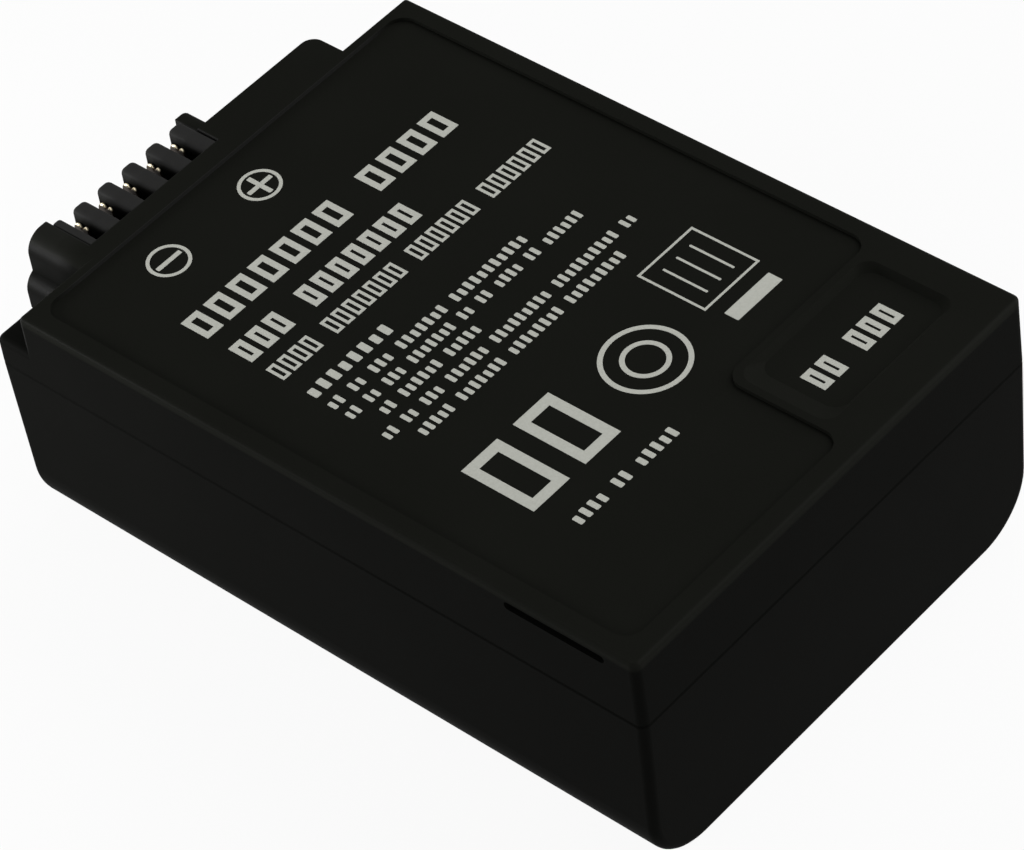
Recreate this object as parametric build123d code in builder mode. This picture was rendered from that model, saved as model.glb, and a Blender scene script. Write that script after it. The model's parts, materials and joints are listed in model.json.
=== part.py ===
"""Camera battery: two flat cells and a protection board in a two part case, with a comb of forked terminals.

Millimetres, +Z up. The battery lies on its plain face. The comb points to -X, the side with the latch slot
faces -Y, and the printed face is up. The origin is the middle of the box that bounds it, at the bottom.
"""

import os
from math import atan, degrees

from build123d import *

# Case
case_length = 49.65  # along X, without the comb
case_width = 34.0
case_height = 18.0
cover_height = 5.0  # from the parting line to the top
wall = 1.1
floor_thickness = 1.0
roof_thickness = 1.3
long_edge_radius = 4.2  # the two long edges at the bottom
corner_radius = 0.55  # upright corners, and the end edges of the lower case
end_lean_offset = 0.45  # how far each end of the lower case leans in at the bottom
cover_lean_offset = 0.04  # the same for all sides of the cover, at the top
top_edge_radius = 0.25
seam_chamfer = 0.12  # on both rims, so that the parting line shows as a fine groove
tongue_height = 0.8
tongue_thickness = 0.5
tongue_clearance = 0.08

# Contact end of the cover
comb_reach = 1.8  # how far the comb stands out from the case's end
comb_offset = -4.86  # middle of the slots from the middle of the case, along Y
slot_count = 5
slot_pitch = 2.07
slot_width = 0.9
slot_depth = 3.0
slot_back = 2.0  # inner end of each slot from the case's end
window_height = 1.0  # opening behind each slot, for the terminal's tail
rib_setback = 0.53  # from the tips of the lobes to those of the ribs
rib_corner_share = 0.31  # rounding of a rib's upright outer corners, as a share of its width
rib_top_share = 0.34  # the same for its upper edges
near_rib_width = 0.7  # the rib before the first slot
far_rib_width = 1.17  # the rib after the last slot
far_lobe_width = 1.18  # the lobe beyond it
far_lobe_drop = 0.25  # its top below the top
far_lobe_radius = 0.6
upper_lobe_width = 1.83  # the two stacked lobes on the near side, along Y
lower_lobe_width = 2.57
lower_lobe_drop = 2.44  # top of the lower lobe below the top
lobe_radius = 1.38
lobe_end_round = 0.2
notch_setback = 2.8  # the cover's upper part starts this far from the case's end
notch_depth = 3.0
step_edge_radius = 0.2  # edges of the upper part's end, in the notches
ledge_edge_radius = 0.45  # outer edges of the ledge in the notches
tab_setback = 0.27  # the tab's edge from the case's end
tab_length = 9.0  # along Y, from the comb's far side
tab_round = 0.9

# Printed face and near side of the cover
panel_depth = 0.25
panel_contact_margin = 0.7  # from the upper part's end to the sunk panel
panel_margin = 1.3  # from the long sides
panel_end_margin = 1.45  # from the plain end
panel_round = 1.2
thumb_length = 6.6  # along X
thumb_width = 11.6
thumb_depth = 0.4  # below the rim of the printed face
thumb_round = 1.0
thumb_ramp = 1.3  # sloped near wall, along Y
thumb_slope = 0.4  # the other walls, as far in at the bottom
thumb_end_margin = 2.75  # from the plain end
thumb_far_margin = 2.4  # from the far side
thumb_land = 0.5  # raised strip between the panel and the recess
latch_length = 7.1
latch_height = 0.55
latch_cut = 0.9  # how deep it goes in
latch_drop = 0.9  # its middle below the top
latch_end_margin = 2.3  # from the plain end

# Cells, with their pads, card and strips
pad_thickness = 0.3
pad_width = 22.0
pad_end_margin = 3.5
cell_side_clearance = 0.2
cell_end_clearance = 0.2
cell_side_flat_height = 0.8  # between the rounded long edges
cell_rim_chamfer = 0.35
rivet_radius = 1.3
boss_height = 0.5  # rivet and weld pad on each cell's end
weld_pad_width = 3.0
weld_pad_margin = 6.7  # middle of the pad from the cell's side
card_thickness = 0.25
card_margin = 2.5
card_clearance = 0.3
strip_thickness = 0.15
strip_width = 2.6
strip_bend = 0.4
strip_run_length = 4.0  # from the upper weld pad's middle to where both strips turn to the board

# Circuit board
board_thickness = 0.8
board_cover_gap = 0.1
board_cell_gap = 1.45
board_side_clearance = 0.1
board_floor_gap = 0.2
board_roof_gap = 0.5
board_corner_radius = 3.3
hole_clearance = 0.12
rail_thickness = 0.8
rail_depth = 1.0
rail_clearance = 0.05
rail_top_drop = 1.0  # rails end this far below the parting line

# Parts on the board
chip_width = 4.4
chip_height = 3.0
chip_thickness = 0.9
transistor_width = 3.0
transistor_pitch = 4.0
transistor_thickness = 0.8
resistor_length = 3.2
resistor_width = 1.6
resistor_thickness = 0.6
resistor_pitch = 2.6  # above the chip, and from it towards the strips
capacitor_length = 1.6
capacitor_width = 0.8
capacitor_pitch = 2.0
package_chamfer = 0.12  # upper edges of them all

# Terminals
fork_clearance = 0.05
leaf_thickness = 0.2
web_thickness = 0.25
fork_front_inset = 0.35  # from the ribs' tips to the fork
fork_crest_length = 0.6  # the leaves' high part
fork_slope_length = 0.35  # from the crest down to the heel
fork_crest_drop = 0.7  # crest below the top
fork_heel_height = 0.7
fork_nose_radius = 0.22
tail_width = 0.6
tail_past_board = 0.35

# Places that follow from these
x_left = -(case_length - comb_reach) / 2
x_right = x_left + case_length
x_middle = (x_left + x_right) / 2
comb_tip = x_left - comb_reach
rib_tip = comb_tip + rib_setback
near_side = -case_width / 2
far_side = case_width / 2
part_height = case_height - cover_height  # height of the parting line
notch_face = x_left + notch_setback
ledge_height = case_height - notch_depth
ledge_base = ledge_height - ledge_edge_radius
cover_taper = degrees(atan(cover_lean_offset / cover_height))
cavity_left = notch_face + wall
comb_seat = notch_face + wall / 2  # the comb and the tab run this far into the cover
roof_underside = case_height - roof_thickness
inner_width = case_width - 2 * wall
slot_floor = case_height - slot_depth
slot_end = x_left + slot_back
slot_places = [comb_offset + slot_pitch * (i - (slot_count - 1) / 2) for i in range(slot_count)]
comb_near = slot_places[0] - slot_width / 2
comb_far = slot_places[-1] + slot_width / 2 + far_rib_width + far_lobe_width
ribs_near = comb_near - near_rib_width
ribs_far = comb_far - far_lobe_width
panel_left = notch_face + panel_contact_margin
panel_right = x_right - panel_end_margin
panel_far = far_side - panel_margin
thumb_left = x_right - thumb_end_margin - thumb_length
thumb_near = far_side - thumb_far_margin - thumb_width

board_outer = cavity_left + board_cover_gap
board_inner = board_outer + board_thickness
cell_left = board_inner + board_cell_gap
cell_right = x_right - wall - end_lean_offset - cell_end_clearance
cell_width = inner_width - 2 * cell_side_clearance
cell_height = (roof_underside - floor_thickness - 3 * pad_thickness) / 2
weld_pad_offset = cell_width / 2 - weld_pad_margin
strip_exit_offset = strip_run_length - weld_pad_offset
board_floor = floor_thickness + board_floor_gap
board_top = roof_underside - board_roof_gap
board_middle = (board_floor + board_top) / 2
cell_edge_radius = (cell_height - cell_side_flat_height) / 2
lower_cell_floor = floor_thickness + pad_thickness
upper_cell_floor = lower_cell_floor + cell_height + pad_thickness
lower_cell_middle = lower_cell_floor + cell_height / 2
upper_cell_middle = upper_cell_floor + cell_height / 2
boss_face = cell_left - boss_height


def corner_box(low, high, mode=Mode.ADD):
    """A box between two opposite corners."""
    with Locations(tuple((a + b) / 2 for a, b in zip(low, high))):
        Box(*(b - a for a, b in zip(low, high)), mode=mode)


def tray_form(inset, bottom):
    """The lower case's outside, or its cavity with the wall as inset: a U section with ends that lean in."""
    with BuildPart() as form:
        with BuildSketch(Plane.YZ.offset(x_left)) as section:
            with Locations((0, bottom)):
                Rectangle(case_width - 2 * inset, part_height - bottom, align=(Align.CENTER, Align.MIN))
            fillet(section.vertices().group_by(Axis.Y)[0], long_edge_radius - inset)
        extrude(amount=case_length)
        with BuildSketch(Plane.XZ):
            with BuildLine():
                Polyline(
                    (x_left + inset, part_height),
                    (x_left + inset + end_lean_offset, 0),
                    (x_right - inset - end_lean_offset, 0),
                    (x_right - inset, part_height),
                    close=True,
                )
            make_face()
        extrude(amount=case_width, both=True, mode=Mode.INTERSECT)
    return form.part


def rim_outline(inset):
    """The case's outline at the parting line, drawn in by an inset."""
    with BuildSketch(Plane.XY.offset(part_height)) as outline:
        with Locations((x_middle, 0)):
            if inset < corner_radius:
                RectangleRounded(case_length - 2 * inset, case_width - 2 * inset, corner_radius - inset)
            else:
                Rectangle(case_length - 2 * inset, case_width - 2 * inset)
    return outline.sketch


# Lower case: a tray with a tongue on its rim and rails for the board
with BuildPart() as lower_case:
    add(tray_form(0, 0))
    ends = lower_case.faces().sort_by(Axis.X)
    end_edges = (ends[0].edges() + ends[-1].edges()).sort_by(Axis.Z).group_by(Axis.Z)[:-1]
    fillet([edge for group in end_edges for edge in group], corner_radius)
    chamfer(lower_case.faces().sort_by(Axis.Z)[-1].edges(), seam_chamfer)
    add(tray_form(wall, floor_thickness), mode=Mode.SUBTRACT)
    with BuildSketch(Plane.XY.offset(part_height)):
        add(rim_outline(wall - tongue_thickness))
        add(rim_outline(wall), mode=Mode.SUBTRACT)
    extrude(amount=tongue_height)
    with BuildSketch(Plane.XY.offset(long_edge_radius)):
        for rail_x in (
            board_outer - rail_clearance - rail_thickness / 2,
            board_inner + rail_clearance + rail_thickness / 2,
        ):
            with Locations((rail_x, inner_width / 2), (rail_x, -inner_width / 2)):
                Rectangle(rail_thickness, 2 * rail_depth)
    extrude(amount=part_height - rail_top_drop - long_edge_radius)
lower_case.part.label = "lower_case"

# Thumb recess, cut into the printed face: sloped walls, the near one a long ramp
with BuildPart() as thumb_recess:
    for depth, ramp, slope in ((0, 0, 0), (thumb_depth, thumb_ramp, thumb_slope)):
        with BuildSketch(Plane.XY.offset(case_height - depth)):
            with Locations((thumb_left + slope, thumb_near + ramp)):
                width = thumb_width - ramp - slope
                RectangleRounded(thumb_length - 2 * slope, width, thumb_round, align=(Align.MIN, Align.MIN))
    loft()

# Ledge at the contact end, with rounded outer edges
with BuildPart() as rounded_ledge:
    with BuildSketch(Plane.XY.offset(part_height)):
        add(rim_outline(0))
    extrude(amount=ledge_height - part_height, taper=cover_taper)
    fillet(rounded_ledge.faces().sort_by(Axis.Z)[-1].edges(), ledge_edge_radius)
    corner_box((x_left, near_side, ledge_base), (comb_seat, far_side, ledge_height), Mode.INTERSECT)


def comb_lobe(steps, radius, outer_corner):
    """A lobe beside the ribs: each step (near, far, top) stands on the parting line, one corner rounded."""
    with BuildPart() as lobe:
        for near, far, top in steps:
            with BuildSketch(Plane.YZ.offset(comb_tip)) as section:
                with Locations((near, part_height)):
                    Rectangle(far - near, top - part_height, align=(Align.MIN, Align.MIN))
                fillet(section.vertices().group_by(Axis.Y)[-1].sort_by(Axis.X)[outer_corner], radius)
            extrude(amount=comb_seat - comb_tip)
        fillet(lobe.faces().sort_by(Axis.X)[0].edges().sort_by(Axis.Z)[1:], lobe_end_round)
    return lobe.part


def comb_rib(near, far):
    """A rib of the comb, with rounded outer corners and upper edges. Its inner end lies in the cover."""
    with BuildPart() as rib:
        with BuildSketch(Plane.XY.offset(part_height)) as outline:
            with Locations((rib_tip, near)):
                Rectangle(comb_seat - rib_tip, far - near, align=(Align.MIN, Align.MIN))
            fillet(outline.vertices().group_by(Axis.X)[0], rib_corner_share * (far - near))
        extrude(amount=cover_height)
        fillet(rib.faces().sort_by(Axis.Z)[-1].edges().sort_by(Axis.X)[:-1], rib_top_share * (far - near))
    return rib.part


# Top cover: printed face, corner notches, tab and comb in one moulding
with BuildPart() as top_cover:
    with BuildSketch(Plane.XY.offset(part_height)):
        add(rim_outline(0))
    extrude(amount=cover_height, taper=cover_taper)
    fillet(top_cover.faces().sort_by(Axis.Z)[-1].edges(), top_edge_radius)
    chamfer(top_cover.faces().sort_by(Axis.Z)[0].edges(), seam_chamfer)
    corner_box((comb_tip, near_side, ledge_base), (notch_face, far_side, case_height), Mode.SUBTRACT)
    step_face = top_cover.faces().filter_by_position(Axis.X, notch_face - 0.01, notch_face + 0.01)[0]
    fillet(step_face.edges().sort_by(Axis.Z)[1:], step_edge_radius)
    add(rounded_ledge.part)
    with BuildSketch(Plane.XY.offset(ledge_base)) as tab:
        with Locations((x_left + tab_setback, ribs_far)):
            tab_reach = comb_seat - x_left - tab_setback
            Rectangle(tab_reach, far_lobe_width + tab_length, align=(Align.MIN, Align.MIN))
        fillet(tab.vertices().group_by(Axis.Y)[-1].sort_by(Axis.X)[0], tab_round)
    extrude(amount=case_height - ledge_base)
    # The comb: a solid foot under the slots, a wall behind them, the ribs, and lobes on both sides
    corner_box((rib_tip, ribs_near, part_height), (comb_seat, ribs_far, slot_floor))
    for place in slot_places:
        low = (comb_tip, place - slot_width / 2, slot_floor)
        corner_box(low, (slot_end, place + slot_width / 2, case_height), Mode.SUBTRACT)
    corner_box((slot_end, ribs_near, slot_floor), (comb_seat, ribs_far, case_height))
    rib_starts = [ribs_near] + [place + slot_width / 2 for place in slot_places]
    rib_ends = [place - slot_width / 2 for place in slot_places] + [ribs_far]
    for near, far in zip(rib_starts, rib_ends):
        add(comb_rib(near, far))
    upper_step = (ribs_near - upper_lobe_width, ribs_near, case_height)
    lower_step = (ribs_near - lower_lobe_width, ribs_near, case_height - lower_lobe_drop)
    add(comb_lobe([upper_step, lower_step], lobe_radius, 0))
    add(comb_lobe([(ribs_far, comb_far, case_height - far_lobe_drop)], far_lobe_radius, -1))
    for place in slot_places:
        low = (slot_end, place - slot_width / 2, slot_floor)
        corner_box(low, (cavity_left, place + slot_width / 2, slot_floor + window_height), Mode.SUBTRACT)
    # Hollow for the cells, and a lower one under the notches and the comb
    inner_far = inner_width / 2
    low = (cavity_left, -inner_far, part_height)
    corner_box(low, (x_right - wall, inner_far, roof_underside), Mode.SUBTRACT)
    low = (x_left + wall, -inner_far, part_height)
    corner_box(low, (cavity_left, inner_far, ledge_height - wall), Mode.SUBTRACT)
    with BuildSketch(Plane.XY.offset(part_height)):
        add(rim_outline(wall - tongue_thickness - tongue_clearance))
    extrude(amount=tongue_height + tongue_clearance, mode=Mode.SUBTRACT)
    # Sunk panel and thumb recess in the printed face, latch slot in the near side
    with BuildSketch(Plane.XY.offset(case_height)) as panel:
        with Locations((panel_left, -panel_far)):
            Rectangle(panel_right - panel_left, 2 * panel_far, align=(Align.MIN, Align.MIN))
        with Locations((thumb_left - thumb_land, thumb_near - thumb_land)):
            corner = (panel_right - thumb_left + thumb_land, panel_far - thumb_near + thumb_land)
            Rectangle(*corner, align=(Align.MIN, Align.MIN), mode=Mode.SUBTRACT)
        fillet(panel.vertices(), panel_round)
    extrude(amount=-panel_depth, mode=Mode.SUBTRACT)
    add(thumb_recess.part, mode=Mode.SUBTRACT)
    with BuildSketch(Plane.XZ.offset(-near_side)):
        with Locations((x_right - latch_end_margin - latch_length / 2, case_height - latch_drop)):
            SlotOverall(latch_length, latch_height)
    extrude(amount=-latch_cut, mode=Mode.SUBTRACT)
top_cover.part.label = "top_cover"


def forked_terminal(place, label):
    """A terminal bent from sheet: two leaves on a web in the slot, and a tail through the board."""
    fork_width = slot_width - 2 * fork_clearance
    fork_front = rib_tip + fork_front_inset
    fork_back = slot_end - fork_clearance
    crest_end = fork_front + fork_crest_length
    crest, heel = case_height - fork_crest_drop, slot_floor + fork_heel_height
    with BuildPart() as terminal:
        with BuildSketch(Plane.XZ.offset(-place)) as leaf:
            with BuildLine():
                Polyline(
                    (fork_front, slot_floor),
                    (fork_front, crest),
                    (crest_end, crest),
                    (crest_end + fork_slope_length, heel),
                    (fork_back, heel),
                    (fork_back, slot_floor),
                    close=True,
                )
            make_face()
            fillet(leaf.vertices().group_by(Axis.Y)[-1], fork_nose_radius)
        extrude(amount=fork_width / 2, both=True)
        half_gap = fork_width / 2 - leaf_thickness
        web_top = slot_floor + web_thickness
        low = (fork_front, place - half_gap, web_top)
        corner_box(low, (fork_back, place + half_gap, crest), Mode.SUBTRACT)
        low = (fork_back, place - tail_width / 2, slot_floor)
        corner_box(low, (board_inner + tail_past_board, place + tail_width / 2, web_top))
    terminal.part.label = label
    return terminal.part


terminals = [forked_terminal(place, f"terminal_{i}") for i, place in enumerate(slot_places, 1)]

# Circuit board on edge behind the comb, with holes for the tails and the two strips
with BuildPart() as circuit_board:
    with BuildSketch(Plane.YZ.offset(board_outer)) as outline:
        with Locations((0, board_middle)):
            Rectangle(inner_width - 2 * board_side_clearance, board_top - board_floor)
        fillet(outline.vertices().group_by(Axis.Y)[0], board_corner_radius)
        with Locations(*((place, slot_floor + web_thickness / 2) for place in slot_places)):
            Rectangle(tail_width + 2 * hole_clearance, web_thickness + 2 * hole_clearance, mode=Mode.SUBTRACT)
        with Locations((strip_exit_offset, lower_cell_middle), (strip_exit_offset, upper_cell_middle)):
            slit_width = 2 * (strip_thickness + hole_clearance)
            Rectangle(slit_width, strip_width + 2 * hole_clearance, mode=Mode.SUBTRACT)
    extrude(amount=board_thickness)
circuit_board.part.label = "circuit_board"


def board_part(label, place, size, on_cell_side=False):
    """A small part soldered on the board at a place (Y, Z), with its size along Y, Z and off the board."""
    width, height, rise = size
    face = board_inner if on_cell_side else board_outer
    with BuildPart() as part:
        with BuildSketch(Plane.YZ.offset(face)):
            with Locations(place):
                Rectangle(width, height)
        extrude(amount=rise if on_cell_side else -rise)
        chamfer(part.faces().sort_by(Axis.X)[-1 if on_cell_side else 0].edges(), package_chamfer)
    part.part.label = label
    return part.part


chip_place = (weld_pad_offset / 2, board_middle)
transistor_size = (transistor_width, transistor_width, transistor_thickness)
capacitor_size = (capacitor_length, capacitor_width, capacitor_width)
resistor_place = (chip_place[0] - chip_width / 2 - resistor_pitch, board_middle + resistor_pitch)
board_parts = [
    board_part("protection_chip", chip_place, (chip_width, chip_height, chip_thickness)),
    board_part("transistor_1", (-weld_pad_offset, board_middle + transistor_pitch / 2), transistor_size),
    board_part("transistor_2", (-weld_pad_offset, board_middle - transistor_pitch / 2), transistor_size),
    board_part("sense_resistor", resistor_place, (resistor_length, resistor_width, resistor_thickness)),
    board_part("capacitor_1", (weld_pad_offset, board_middle + capacitor_pitch / 2), capacitor_size),
    board_part("capacitor_2", (weld_pad_offset, board_middle - capacitor_pitch / 2), capacitor_size),
    board_part("thermistor", (weld_pad_offset / 2, board_middle), capacitor_size, on_cell_side=True),
]


def flat_cell(label, bottom, pad_place):
    """A sealed cell in a flat can, with the rivet and the weld pad on the end that faces the board."""
    middle = bottom + cell_height / 2
    with BuildPart() as cell:
        with BuildSketch(Plane.YZ.offset(cell_left)):
            with Locations((0, middle)):
                RectangleRounded(cell_width, cell_height, cell_edge_radius)
        extrude(amount=cell_right - cell_left)
        ends = cell.faces().sort_by(Axis.X)
        chamfer(ends[0].edges() + ends[-1].edges(), cell_rim_chamfer)
        with BuildSketch(Plane.YZ.offset(cell_left)):
            with Locations((0, middle)):
                Circle(rivet_radius)
            with Locations((pad_place, middle)):
                Rectangle(weld_pad_width, strip_width)
        extrude(amount=-boss_height)
    cell.part.label = label
    return cell.part


cells = [
    flat_cell("cell_lower", lower_cell_floor, weld_pad_offset),
    flat_cell("cell_upper", upper_cell_floor, -weld_pad_offset),
]

# Card on the ends of both cells, open round their rivets and weld pads
with BuildPart() as end_card:
    with BuildSketch(Plane.YZ.offset(cell_left)):
        with Locations((0, (lower_cell_middle + upper_cell_middle) / 2)):
            card_height = upper_cell_floor + cell_height - lower_cell_floor - 2 * card_margin
            Rectangle(cell_width - 2 * card_margin, card_height)
        with Locations((0, lower_cell_middle), (0, upper_cell_middle)):
            Circle(rivet_radius + card_clearance, mode=Mode.SUBTRACT)
        with Locations((weld_pad_offset, lower_cell_middle), (-weld_pad_offset, upper_cell_middle)):
            opening = (weld_pad_width + 2 * card_clearance, strip_width + 2 * card_clearance)
            Rectangle(*opening, mode=Mode.SUBTRACT)
    extrude(amount=-card_thickness)
end_card.part.label = "end_card"

# Link strip: from the lower cell's weld pad up and across to the upper cell's rivet
with BuildPart() as link_strip:
    with BuildSketch(Plane.YZ.offset(boss_face)):
        with Locations((weld_pad_offset, (lower_cell_middle + upper_cell_middle) / 2)):
            Rectangle(strip_width, upper_cell_middle - lower_cell_middle + strip_width)
        with Locations((weld_pad_offset / 2, upper_cell_middle)):
            Rectangle(weld_pad_offset + strip_width, strip_width)
    extrude(amount=-strip_thickness)
link_strip.part.label = "link_strip"


def lead_strip(label, start, middle, side):
    """A strip along the cells' ends from a boss to the exit, then bent through its slit in the board."""
    with BuildPart() as strip:
        with BuildSketch(Plane.XY.offset(middle - strip_width / 2)):
            with BuildLine():
                FilletPolyline(
                    (boss_face, start),
                    (boss_face, strip_exit_offset),
                    (board_outer - tail_past_board, strip_exit_offset),
                    radius=strip_bend,
                )
                offset(amount=strip_thickness, side=side)
            make_face()
        extrude(amount=strip_width)
    strip.part.label = label
    return strip.part


strips = [
    lead_strip("negative_strip", rivet_radius, lower_cell_middle, Side.RIGHT),
    lead_strip("positive_strip", -weld_pad_offset - weld_pad_width / 2, upper_cell_middle, Side.LEFT),
]


def flat_pad(label, bottom):
    """A foam or tape pad as long as the cells less a margin at each end."""
    with BuildPart() as pad:
        with BuildSketch(Plane.XY.offset(bottom)):
            with Locations(((cell_left + cell_right) / 2, 0)):
                Rectangle(cell_right - cell_left - 2 * pad_end_margin, pad_width)
        extrude(amount=pad_thickness)
    pad.part.label = label
    return pad.part


pads = [
    flat_pad("floor_pad", floor_thickness),
    flat_pad("cell_tape", lower_cell_floor + cell_height),
    flat_pad("roof_pad", upper_cell_floor + cell_height),
]

os.makedirs("parts", exist_ok=True)
mouldings = [lower_case.part, top_cover.part]
flat_pieces = [circuit_board.part, end_card.part, link_strip.part]
for piece in mouldings + flat_pieces + terminals + board_parts + cells + strips + pads:
    export_step(piece, f"parts/{piece.label}.step")
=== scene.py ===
"""Looks of the camera battery: satin black mouldings, gold plated terminals and plain printing on the top.

Metres, in the frame of the solids. The comb points to -X, the printed face is up, the latch slot faces -Y.
"""

import json

import bpy
import numpy as np
from mathutils import Matrix, Vector


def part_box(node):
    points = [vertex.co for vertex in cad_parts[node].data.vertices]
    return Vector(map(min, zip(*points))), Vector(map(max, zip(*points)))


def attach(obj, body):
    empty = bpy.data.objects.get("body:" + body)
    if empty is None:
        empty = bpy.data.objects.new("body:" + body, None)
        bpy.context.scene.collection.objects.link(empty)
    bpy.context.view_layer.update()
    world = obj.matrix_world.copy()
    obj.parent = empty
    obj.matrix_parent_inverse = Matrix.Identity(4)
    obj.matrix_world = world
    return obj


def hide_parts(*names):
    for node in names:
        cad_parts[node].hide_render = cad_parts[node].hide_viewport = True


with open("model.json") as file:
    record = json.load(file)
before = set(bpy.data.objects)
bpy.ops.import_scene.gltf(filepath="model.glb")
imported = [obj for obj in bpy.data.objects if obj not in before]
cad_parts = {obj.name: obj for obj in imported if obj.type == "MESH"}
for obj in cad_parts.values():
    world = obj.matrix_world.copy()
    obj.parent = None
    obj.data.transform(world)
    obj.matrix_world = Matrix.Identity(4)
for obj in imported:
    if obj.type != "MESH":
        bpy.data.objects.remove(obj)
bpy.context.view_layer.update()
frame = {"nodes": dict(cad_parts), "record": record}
MM = 0.001

# Places on the solids, in millimetres
case_low, case_high = (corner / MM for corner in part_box("lower_case"))
middle = (case_low.x + case_high.x) / 2
half_length, half_width = (case_high.x - case_low.x) / 2, case_high.y
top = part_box("top_cover")[1].z / MM
slots_end = case_low.x + 2.0  # inner end of the comb's slots
step_edge = case_low.x + 2.94  # rounded upright edges in the corner notches
lobes_near, ribs_near, ribs_far = -12.72, -10.15, 0.9  # the comb along Y
panel = top - 0.25  # floor of the sunk panel
panel_left, panel_side = case_low.x + 3.5, half_width - 1.3
thumb_floor = top - 0.4
terminals = [f"terminal_{k}" for k in range(1, 6)]
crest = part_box(terminals[0])[1].z / MM  # the terminals' highest edge


class Wire:
    """A shader socket that takes part in Python arithmetic: each operation adds a Math node to its tree."""

    def __init__(self, tree, socket=None):
        self.tree, self.socket = tree, socket

    def node(self, kind, settings=None, sockets=None, output=0):
        """Adds a node, sets it up, gives each socket a number, a colour or a link, and wraps one output."""
        made = self.tree.nodes.new(kind)
        for name, value in (settings or {}).items():
            setattr(made, name, value)
        for name, value in (sockets or {}).items():
            if isinstance(value, Wire):
                self.tree.links.new(value.socket, made.inputs[name])
            else:
                made.inputs[name].default_value = value
        return Wire(self.tree, made.outputs[output] if len(made.outputs) else None)

    def maths(self, operation, first, second):
        return self.node("ShaderNodeMath", {"operation": operation}, {0: first, 1: second})

    def __add__(self, other):
        return self.maths("ADD", self, other)

    def __radd__(self, other):
        return self.maths("ADD", other, self)

    def __sub__(self, other):
        return self.maths("SUBTRACT", self, other)

    def __rsub__(self, other):
        return self.maths("SUBTRACT", other, self)

    def __mul__(self, other):
        return self.maths("MULTIPLY", self, other)

    def __rmul__(self, other):
        return self.maths("MULTIPLY", other, self)

    def blend(self, low, high):
        """A colour from low to high as this number goes from 0 to 1."""
        low, high = (shade if isinstance(shade, Wire) else (*shade, 1) for shade in (low, high))
        return self.node("ShaderNodeMix", {"data_type": "RGBA"}, {0: self, 6: low, 7: high}, 2)

    def rise(self, low, high):
        """0 below low and 1 above high, straight between."""
        return self.node("ShaderNodeMapRange", None, {0: self, 1: low, 2: high})

    def size(self):
        return self.maths("ABSOLUTE", self, 0)

    def place(self):
        """The place in object space, in metres."""
        return self.node("ShaderNodeTexCoord", None, None, "Object")

    def axes(self):
        """The place in object space as three numbers in millimetres."""
        place = self.place()
        return [1 / MM * self.node("ShaderNodeSeparateXYZ", None, {0: place}, axis) for axis in "XYZ"]

    def grain(self, per_mm, detail=2.0, stretch=(1, 1, 1)):
        """Noise of so many waves a millimetre in object space, drawn out where stretch is small."""
        scale = tuple(per_mm / MM * s for s in stretch)
        drawn = self.node("ShaderNodeMapping", None, {0: self.place(), 3: scale})
        return self.node("ShaderNodeTexNoise", None, {"Vector": drawn, "Scale": 1.0, "Detail": detail})


def finish(name, look):
    """A new material; look(start) gives the sockets of its shader, with heights in millimetres as "bump"."""
    material = bpy.data.materials.new(name)
    material.use_nodes = True
    material.node_tree.nodes.clear()
    start = Wire(material.node_tree)
    sockets = look(start)
    if "bump" in sockets:
        height = sockets.pop("bump")
        sockets["Normal"] = start.node("ShaderNodeBump", None, {"Distance": MM, "Height": height})
    shader = start.node("ShaderNodeBsdfPrincipled", None, sockets)
    start.node("ShaderNodeOutputMaterial", None, {"Surface": shader})
    return material


def moulded_plastic(shine=None, painted_highlight=None):
    """Spark eroded moulding: fine grain and faint clouding, with the printed face painted paler as painted
    light and the sides painted darker as painted shade.

    shine(start) and worn(start) say where it is polished and where painted highlights grey it.
    """

    def look(start):
        fine = start.grain(9, 3)
        clouds = start.grain(0.12, 2) * 0.7 + fine * 0.3
        _, _, z = start.axes()
        # Painted light and shade: one plastic, painted darker on the sides and paler on the printed face
        # above top - 0.45 mm.
        shaded_side = clouds.blend((0.0033, 0.0034, 0.003), (0.0048, 0.0049, 0.0044))
        face = clouds.blend((0.0062, 0.0065, 0.0053), (0.0089, 0.0093, 0.0077))
        plain = z.rise(top - 0.6, top - 0.45).blend(shaded_side, face)
        return {
            # Pale grey painted highlights are blended in where the second mask says, over the painted light
            # and shade above.
            "Base Color": painted_highlight(start).blend(plain, (0.021, 0.021, 0.0205)) if painted_highlight else plain,
            "Roughness": 0.45 + fine * 0.1,
            "Specular IOR Level": 0.004,
            "Coat Weight": shine(start) if shine else 0.0,
            "Coat Roughness": 0.4,
            "bump": fine * 0.008,
        }

    return look


def cover_shine(start):
    """Polish where hands rub the upper edges, and faintly on the comb's lobes."""
    x, y, z = start.axes()
    outer = start.maths("MAXIMUM", y.size() - half_width, (x - middle).size() - half_length)
    edges = outer.rise(-0.4, -0.15) * z.rise(top - 0.35, top - 0.2)
    lobes = y.rise(lobes_near - 0.1, lobes_near) * (1 - y.rise(ribs_near - 0.1, ribs_near + 0.1))
    lobes = lobes * (1 - x.rise(slots_end - 1.3, slots_end))
    return edges * 0.022 + lobes * 0.05


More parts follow.
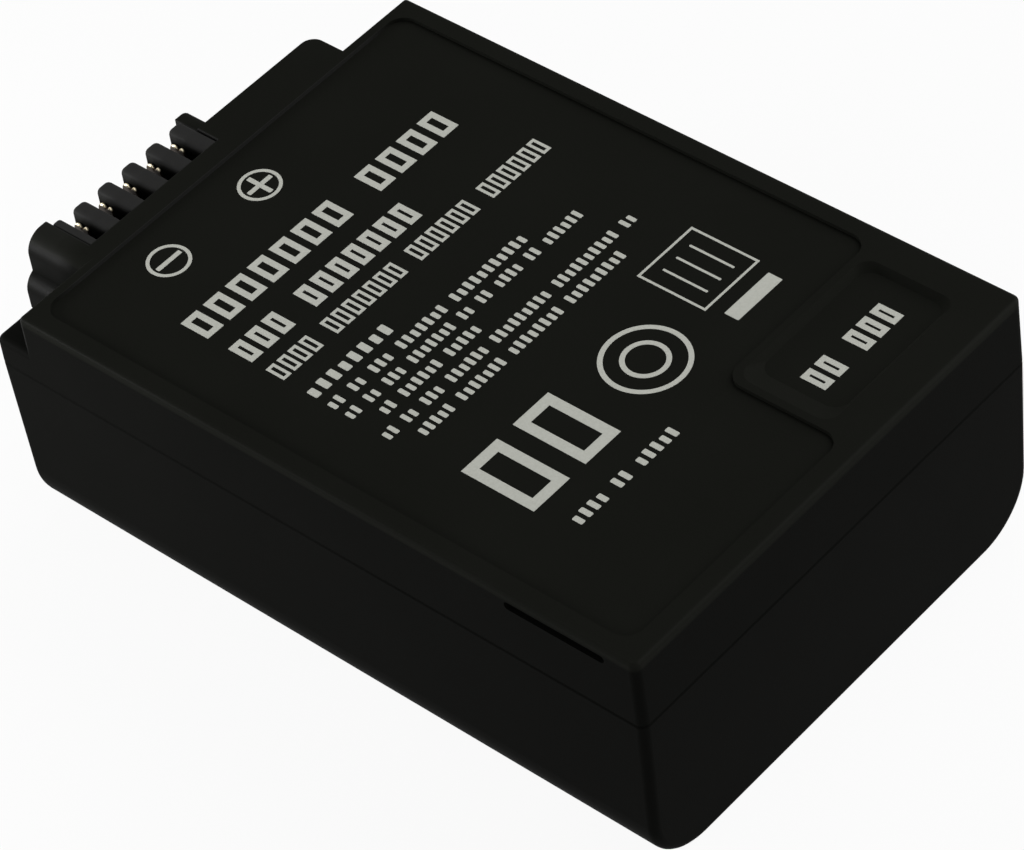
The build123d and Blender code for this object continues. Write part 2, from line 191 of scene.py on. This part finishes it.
def cover_painted_highlights(start):
    """How far painted highlights grey it: the ribs' upper sides, the panel's contact end, the notches'
    upright edges.
    """
    x, y, z = start.axes()
    # Painted highlights: a mottled pale grey on the tops of the ribs, on the panel's wall at the contact end
    # and on the notches' upright edges.
    across = y.rise(ribs_near - 0.1, ribs_near + 0.1) * (1 - y.rise(ribs_far, ribs_far + 0.1))
    ribs = across * (1 - x.rise(slots_end - 0.04, slots_end + 0.04)) * z.rise(top - 0.9, top - 0.35)
    wall = 1 - (x - panel_left).size().rise(0.02, 0.05)
    wall = wall * (1 - y.size().rise(panel_side - 3, panel_side - 1))
    edges = (1 - (x - step_edge).size().rise(0.05, 0.12)) * z.rise(top - 2.9, top - 2)
    edges = edges * y.size().rise(half_width - 0.3, half_width - 0.15)
    painted_highlight = start.maths("MAXIMUM", ribs * (0.75 + 0.5 * start.grain(1.5, 3)), wall * 0.6)
    return start.maths("MAXIMUM", painted_highlight, edges * 0.7)


def plated_gold(start):
    """Pale gold on the crowns of the leaves, wiped along X, and below them the plate painted near black brown
    as painted shade.
    """
    wiped = start.grain(6, 3, (0.08, 1, 1))
    _, _, z = start.axes()
    shaded_plate = wiped.blend((0.02, 0.013, 0.008), (0.05, 0.034, 0.022))
    gold = wiped.blend((0.9, 0.76, 0.48), (0.98, 0.9, 0.7))
    return {
        # Painted shade: the leaves are gold only above crest - 0.2 mm and painted dark brown below it.
        "Base Color": z.rise(crest - 0.2, crest - 0.08).blend(shaded_plate, gold),
        "Metallic": 1.0,
        "Roughness": 0.25 + wiped * 0.2,
        "bump": wiped * 0.004,
    }


def printed_ink(start):
    """Pale ink, a little thin in places."""
    thin = start.grain(7, 3)
    return {
        "Base Color": thin.blend((0.36, 0.365, 0.325), (0.46, 0.467, 0.425)),
        "Roughness": 0.55 + thin * 0.15,
        "Specular IOR Level": 0.2,
        "bump": thin * 0.002,
    }


def solder_resist(start):
    """Green board: broad lighter tracks, laid out on its YZ plane, under a glossy coat."""
    x, y, z = start.axes()
    flat = start.node("ShaderNodeCombineXYZ", None, {0: y, 1: z, 2: x})
    layout = {"Vector": flat, "Scale": 0.4, "Mortar Size": 0.03}
    tracks = start.node("ShaderNodeTexBrick", {"offset": 0.3}, layout, 1)
    mottle = start.grain(3, 2)
    return {
        "Base Color": (tracks * 0.6 + mottle * 0.4).blend((0.01, 0.12, 0.05), (0.03, 0.24, 0.1)),
        "Roughness": 0.25 + mottle * 0.15,
        "bump": tracks * 0.02,
    }


def moulded_resin(start):
    """Black package resin."""
    fine = start.grain(14, 3)
    return {
        "Base Color": fine.blend((0.012, 0.012, 0.013), (0.03, 0.03, 0.032)),
        "Roughness": 0.5 + fine * 0.2,
        "bump": fine * 0.006,
    }


def fired_ceramic(start):
    """Brown chip ceramic."""
    fine = start.grain(10, 3)
    return {
        "Base Color": fine.blend((0.34, 0.23, 0.14), (0.55, 0.41, 0.28)),
        "Roughness": 0.35 + fine * 0.2,
        "bump": fine * 0.004,
    }


def drawn_can(start):
    """Aluminium can with draw marks along X."""
    drawn = start.grain(5, 4, (0.03, 1, 1))
    return {
        "Base Color": drawn.blend((0.5, 0.5, 0.52), (0.72, 0.72, 0.74)),
        "Metallic": 1.0,
        "Roughness": 0.3 + drawn * 0.2,
        "bump": drawn * 0.006,
    }


def insulating_card(start):
    """Buff card with fibres along Y."""
    fibre = start.grain(4, 5, (1, 0.25, 1))
    return {
        "Base Color": fibre.blend((0.4, 0.35, 0.24), (0.6, 0.54, 0.4)),
        "Roughness": 0.75 + fibre * 0.15,
        "bump": fibre * 0.02,
    }


def nickel_sheet(start):
    """Nickel strip with rolling marks along Y."""
    rolled = start.grain(7, 3, (1, 0.06, 1))
    return {
        "Base Color": rolled.blend((0.5, 0.47, 0.42), (0.7, 0.68, 0.62)),
        "Metallic": 1.0,
        "Roughness": 0.25 + rolled * 0.2,
        "bump": rolled * 0.004,
    }


def closed_foam(start):
    """Grey adhesive foam with fine cells."""
    cells = start.node("ShaderNodeTexVoronoi", None, {"Vector": start.place(), "Scale": 6000.0})
    return {
        "Base Color": cells.blend((0.05, 0.05, 0.055), (0.12, 0.12, 0.125)),
        "Roughness": 0.8 + cells * 0.15,
        "bump": cells * 0.03,
    }


looks = {
    "case_plastic": moulded_plastic(),
    "cover_plastic": moulded_plastic(cover_shine, cover_painted_highlights),
    "gold_plate": plated_gold,
    "print_ink": printed_ink,
    "board_laminate": solder_resist,
    "chip_resin": moulded_resin,
    "part_ceramic": fired_ceramic,
    "cell_can": drawn_can,
    "card": insulating_card,
    "nickel_strip": nickel_sheet,
    "foam": closed_foam,
}
finishes = {slot: finish(slot, look) for slot, look in looks.items()}
for piece in frame["record"]["subparts"]:
    mesh = frame["nodes"][piece["node"]].data
    mesh.materials.clear()
    mesh.materials.append(finishes[piece["material_slot"]])


def add_piece(name, points, faces, slot):
    """A new mesh of the body from points in millimetres, in the finish of its slot."""
    mesh = bpy.data.meshes.new(name)
    mesh.from_pydata((points * MM).tolist(), [], faces)
    mesh.materials.append(finishes[slot])
    piece = bpy.data.objects.new(name, mesh)
    bpy.context.scene.collection.objects.link(piece)
    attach(piece, "root")
    return piece


def forked_sheet(name, node):
    """A terminal bent from sheet: a U with two leaves and a tail, as a section that is carried along X.

    From the nose the leaves' edge rises by a quarter circle to the crest, dips by a sine squared between its
    two crowns, bends down by a parabola and falls straight to the heel, where the tail starts. The edge of a
    leaf is rounded by half its thickness.
    """
    low, high = (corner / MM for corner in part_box(node))
    nose, gap, bend = 0.42, 0.55, 0.28  # radius of the nose, crown to crown, and the bend's run
    dip, fall = 0.22, 0.35  # depths between the crowns and at the end of the bend
    sheet, web, heel, heel_start = 0.2, 0.25, 0.7, 1.9
    back, half, tail_half = slots_end - 0.05, (high.y - low.y) / 2, 0.3
    run = np.linspace(0, nose + gap + bend, 61)
    edge = high.z - nose + np.sqrt(nose**2 - np.clip(nose - run, 0, nose) ** 2)
    edge -= dip * np.sin(np.pi * np.clip((run - nose) / gap, 0, 1)) ** 2
    edge -= fall * np.clip((run - nose - gap) / bend, 0, 1) ** 2
    tail_edge = low.z + web + sheet / 2 + 0.01
    x = np.concatenate([low.x + run, [low.x + heel_start, back - 0.2, back, high.x]])
    edge = np.concatenate([edge, [low.z + heel, low.z + heel, tail_edge, tail_edge]])[:, None]
    reach = np.where(x < back - 0.1, half, tail_half)[:, None]
    turn = np.linspace(0, np.pi, 9)
    out, up = sheet / 2 * np.cos(turn), sheet / 2 * (np.sin(turn) - 1)
    floor = np.full_like(edge, low.z)
    left, right = reach - sheet / 2 + out, sheet / 2 - reach + out
    y = np.hstack([reach, left, reach - sheet, sheet - reach, right, -reach])
    z = np.hstack([floor, edge + up, floor + web, floor + web, edge + up, floor])
    steps, n = y.shape
    k, row = np.arange(n), n * np.arange(steps - 1)[:, None]
    skin = np.stack([row + k, row + (k + 1) % n, row + n + (k + 1) % n, row + n + k], -1).reshape(-1, 4)
    ends = [k[::-1].tolist(), (k + n * (steps - 1)).tolist()]
    points = np.column_stack([np.repeat(x, n), y.ravel() + (low.y + high.y) / 2, z.ravel()])
    piece = add_piece(name, points, [*skin.tolist(), *ends], "gold_plate")
    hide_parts(node)


for node in terminals:
    forked_sheet(f"{node}_fork", node)


def printed_piece(name, outlines, floor):
    """Ink of one depth from closed outlines: each (n, 2) loop of points has a floor, a wall and a top.

    The loops are in millimetres from the middle of the case. Wall quad k joins points k and k + 1 of the
    lower and the upper copy of its loop.
    """
    depth = 0.02
    points, faces, used = [], [], 0
    for loop in outlines:
        n = len(loop)
        k = np.arange(n)
        points += [np.column_stack([loop, np.full(n, z)]) for z in (floor, floor + depth)]
        wall = used + np.column_stack([k, (k + 1) % n, n + (k + 1) % n, n + k])
        faces += [*wall.tolist(), (used + k[::-1]).tolist(), (used + n + k).tolist()]
        used += 2 * n
    add_piece(name, np.concatenate(points) + (middle, 0, 0), faces, "print_ink")


def bar(x0, x1, y0, y1, corner):
    """A rounded rectangle: quarter turns of the corner radius about its four inner corners, anticlockwise."""
    turn = np.linspace(0, np.pi / 2, 7)[None, :] + np.arange(4)[:, None] * np.pi / 2
    x = np.array([x1 - corner, x0 + corner, x0 + corner, x1 - corner])[:, None] + corner * np.cos(turn)
    y = np.array([y1 - corner, y1 - corner, y0 + corner, y0 + corner])[:, None] + corner * np.sin(turn)
    return np.column_stack([x.ravel(), y.ravel()])


def ring(x, y, radius, width):
    """A ring as four quarter bands: out along the outer arc and back along the inner one."""
    turn = np.linspace(0, np.pi / 2, 17)
    for quarter in np.arange(4) * np.pi / 2:
        out = np.column_stack([np.cos(turn + quarter), np.sin(turn + quarter)])
        yield np.concatenate([out * radius, out[::-1] * (radius - width)]) + (x, y)


def hollow(x0, x1, y0, y1, width):
    """A rectangle drawn as its four sides, mitred where they meet."""
    outer = np.array([(x0, y0), (x1, y0), (x1, y1), (x0, y1)])
    inner = outer + width * np.array([(1, 1), (-1, 1), (-1, -1), (1, -1)])
    for k, after in enumerate((1, 2, 3, 0)):
        yield np.array([outer[k], outer[after], inner[after], inner[k]])


def words(x, height, start, end, letters, stroke=0):
    """A line of plain print along Y: a block for each letter, hollow where a stroke is given, with word gaps.

    Letters and gaps share the length evenly, and every third solid block is lower than the others.
    """
    pitch = (end - start) / (sum(letters) + len(letters) - 1)
    firsts = np.cumsum([0, *letters[:-1]]) + np.arange(len(letters))
    places = np.concatenate([first + np.arange(n) for first, n in zip(firsts, letters)])
    for k, y in enumerate(start + pitch * places):
        if stroke:
            yield from hollow(x - height / 2, x + height / 2, y, y + 0.72 * pitch, stroke)
        else:
            low = x - height * (0.5 if k % 3 else 0.35)
            yield bar(low, x + height / 2, y, y + 0.55 * pitch, 0.08)


marks = [
    *ring(-18.14, -0.44, 1.38, 0.23),
    bar(-19.12, -17.16, -0.6, -0.28, 0.05),
    bar(-18.3, -17.98, -1.42, -0.61, 0.05),
    bar(-18.3, -17.98, -0.27, 0.54, 0.05),
    *ring(-18.16, -8.27, 1.38, 0.23),
    bar(-18.32, -18.0, -9.25, -7.29, 0.05),
]
printed_piece("polarity_marks", marks, panel)

lines = [
    *words(-12.8, 2.2, -11.7, 10.7, [7, 4], 0.42),
    *words(-9.2, 1.9, -11.65, 3.45, [3, 7], 0.38),
    *words(-6.45, 1.45, -11.65, 12.0, [4, 7, 6, 6], 0.2),
    *words(-3.65, 0.95, -11.65, -4.7, [8]),
    *words(-2.07, 0.8, -11.7, 5.2, [2, 2, 3, 7, 11]),
    *words(-0.73, 0.8, -11.7, 8.6, [2, 2, 3, 7, 2, 2, 4, 2, 6]),
    *words(0.63, 0.8, -10.3, -1.95, [2, 6, 5]),
    *words(2.1, 0.8, -11.7, 10.1, [2, 2, 3, 6, 9, 10, 2]),
    *words(3.56, 0.8, -10.3, 7.4, [5, 7, 8, 9]),
    *words(15.13, 0.85, -10.5, -1.75, [4, 2, 5]),
]
printed_piece("printed_lines", lines, panel)

signs = [
    *hollow(5.5, 10.57, 6.2, 11.15, 0.16),
    *(bar(6.4, 9.7, y, y + 0.16, 0.05) for y in (7.4, 8.6, 9.8)),
    bar(11.58, 12.61, 6.67, 10.67, 0.05),
    *ring(10.25, 1.3, 2.75, 0.32),
    *ring(10.25, 1.3, 1.5, 0.32),
    *hollow(7.4, 12.75, -6.87, -3.83, 0.72),
    *hollow(7.4, 12.75, -11.25, -8.2, 0.72),
]
printed_piece("printed_signs", signs, panel)
printed_piece("thumb_print", words(19.1, 1.8, 5.2, 12.7, [2, 3], 0.36), thumb_floor)


def camera_view():
    """The photograph's camera: its own axes as columns, and the image shifted as the picture was cropped."""
    data = bpy.data.cameras.new("camera")
    data.sensor_width, data.lens = 36.0, 165.3
    data.shift_x, data.shift_y = 0.0617, 0.0158
    data.clip_start = 0.01
    right, up = (0.7427, 0.6580, -0.1239), (-0.4084, 0.5918, 0.6950)
    back = (0.5307, -0.4656, 0.7083)
    place = Matrix.Translation((0.144915, -0.13160, 0.20291))
    camera = bpy.data.objects.new("camera", data)
    camera.matrix_world = place @ Matrix((right, up, back)).transposed().to_4x4()
    bpy.context.scene.collection.objects.link(camera)
    bpy.context.scene.camera = camera


def soft_lamp(name, place, size, power):
    """A square area lamp that faces the middle of the battery."""
    data = bpy.data.lights.new(name, "AREA")
    data.size, data.energy = size, power
    lamp = bpy.data.objects.new(name, data)
    heart = Vector((0, 0, 0.01))
    turn = (heart - Vector(place)).to_track_quat("-Z", "Y")
    lamp.matrix_world = Matrix.Translation(place) @ turn.to_matrix().to_4x4()
    bpy.context.scene.collection.objects.link(lamp)


def seen(start):
    """1 for rays from the camera, off a gloss or through glass, and 0 for those that only carry light."""
    rays = ("Is Camera Ray", "Is Glossy Ray", "Is Transmission Ray")
    camera, gloss, glass = (start.node("ShaderNodeLightPath", None, None, ray) for ray in rays)
    return start.maths("MAXIMUM", start.maths("MAXIMUM", camera, gloss), glass)


def pale_floor():
    """A wide flat floor: most of what is seen of it is its own white, and the rest takes the shadow."""
    reach, drop, own_white = 2.0, 0.00002, 0.93
    mesh = bpy.data.meshes.new("floor")
    corners = np.array([(-1, -1, 0), (1, -1, 0), (1, 1, 0), (-1, 1, 0)]) * reach - (0, 0, drop)
    mesh.from_pydata(corners.tolist(), [], [(0, 1, 2, 3)])
    material = bpy.data.materials.new("floor")
    material.use_nodes = True
    material.node_tree.nodes.clear()
    start = Wire(material.node_tree)
    cloudy = start.grain(0.01, 2).blend((0.58, 0.58, 0.58), (0.62, 0.62, 0.62))
    matt = start.node("ShaderNodeBsdfDiffuse", None, {"Color": cloudy})
    white = start.node("ShaderNodeEmission", None, {"Color": (1, 1, 1, 1), "Strength": 1.0})
    mixed = start.node("ShaderNodeMixShader", None, {0: seen(start) * own_white, 1: matt, 2: white})
    start.node("ShaderNodeOutputMaterial", None, {"Surface": mixed})
    mesh.materials.append(material)
    floor = bpy.data.objects.new("floor", mesh)
    bpy.context.scene.collection.objects.link(floor)


def white_world():
    """White to the camera and in reflections, and a softer grey as light."""
    light = 0.22
    world = bpy.data.worlds.new("studio")
    world.use_nodes = True
    world.node_tree.nodes.clear()
    start = Wire(world.node_tree)
    strength = light + seen(start) * (1 - light)
    sky = start.node("ShaderNodeBackground", None, {"Color": (1, 1, 1, 1), "Strength": strength})
    start.node("ShaderNodeOutputWorld", None, {"Surface": sky})
    bpy.context.scene.world = world


camera_view()
pale_floor()
white_world()
soft_lamp("back_lamp", (0.1, 0.34, 0.34), 0.5, 2.5)
soft_lamp("corner_lamp", (0.22, -0.24, 0.12), 0.2, 0.3)
soft_lamp("front_lamp", (-0.08, -0.065, 0.027), 0.04, 0.105)
soft_lamp("end_lamp", (0.075, 0.085, 0.027), 0.04, 0.046)
bpy.context.scene.view_settings.view_transform = "Standard"
